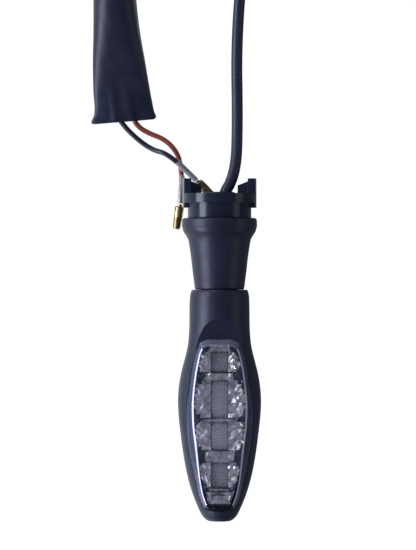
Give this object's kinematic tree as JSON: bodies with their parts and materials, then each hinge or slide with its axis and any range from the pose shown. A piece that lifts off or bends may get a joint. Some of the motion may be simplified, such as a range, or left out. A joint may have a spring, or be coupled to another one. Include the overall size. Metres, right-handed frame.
{
  "type": "motorcycle turn signal indicator",
  "caption": "Almond-shaped motorcycle turn signal with a raised clear lens on a tapered rubber stalk, grooved panel mount, lead, in-line module in a black sleeve and bullet terminals.",
  "frame": {"origin": "centre of the panel groove in the mounting base, on the stalk's axis", "axes": "+Z out of the lens, +Y out of the mounting base towards the lead, -Y towards the lamp's tip; the signal lies on its back"},
  "size_m": [0.0626, 0.2504, 0.0276],
  "materials": {
    "base_plastic": "moulded, low sheen",
    "boot_rubber": "soft, matt",
    "cable_pvc": "satin PVC",
    "stalk_rubber": "satin",
    "housing_plastic": "fine grain",
    "clip_steel": "zinc plated",
    "lens_clear": "clear moulding",
    "seal_rubber": "matt",
    "reflector_metal": "metallised plastic",
    "board_laminate": "solder mask",
    "component_body": "moulded",
    "resistor_body": "lacquered",
    "capacitor_can": "sleeved can",
    "led_package": "amber dome",
    "light_block_clear": "frosted clear",
    "screw_steel": "plated",
    "shrink_sleeve": "satin shrink tube",
    "wire_black": "satin",
    "wire_red": "satin",
    "insulator_clear": "clear sleeve",
    "brass_terminal": "worn"
  },
  "bodies": {
    "base": {"mount_base": "base_plastic", "cable_boot": "boot_rubber", "lead_cable": "cable_pvc", "module_sleeve": "shrink_sleeve", "module_board": "board_laminate", "module_resistor_1": "resistor_body", "module_resistor_2": "resistor_body", "module_capacitor": "capacitor_can", "module_chip": "component_body", "black_wire": "wire_black", "red_wire": "wire_red", "insulator_black": "insulator_clear", "insulator_red": "insulator_clear", "crimp_black": "brass_terminal", "crimp_red": "brass_terminal", "bullet_black": "brass_terminal", "bullet_red": "brass_terminal"},
    "stalk": {"rubber_stalk": "stalk_rubber", "inner_lead": "cable_pvc"},
    "head": {"head_housing": "housing_plastic", "stalk_clip": "clip_steel", "lens": "lens_clear", "lens_seal": "seal_rubber", "reflector": "reflector_metal", "circuit_board": "board_laminate", "board_resistor_1": "component_body", "board_resistor_2": "component_body", "board_resistor_3": "component_body", "board_diode": "component_body", "board_regulator": "component_body", "board_wire_red": "wire_red", "board_wire_black": "wire_black", "led_1": "led_package", "led_2": "led_package", "led_3": "led_package", "led_4": "led_package", "light_block_1": "light_block_clear", "light_block_2": "light_block_clear", "light_block_3": "light_block_clear", "light_block_4": "light_block_clear", "board_screw_1": "screw_steel", "board_screw_2": "screw_steel"}
  },
  "joints": [
    {"name": "stalk_sway", "type": "hinge", "parent": "base", "child": "stalk", "pos_m": [0, -0.011, 0], "axis": [0, 0, 1], "range_deg": [-20, 20], "stiffness_Nm_per_rad": 1.3, "deforming": ["rubber_stalk", "inner_lead"]},
    {"name": "stalk_nod", "type": "hinge", "parent": "stalk", "child": "head", "pos_m": [0, -0.0223, 0], "axis": [1, 0, 0], "range_deg": [-20, 20], "stiffness_Nm_per_rad": 1.3, "deforming": ["rubber_stalk", "inner_lead"]}
  ]
}
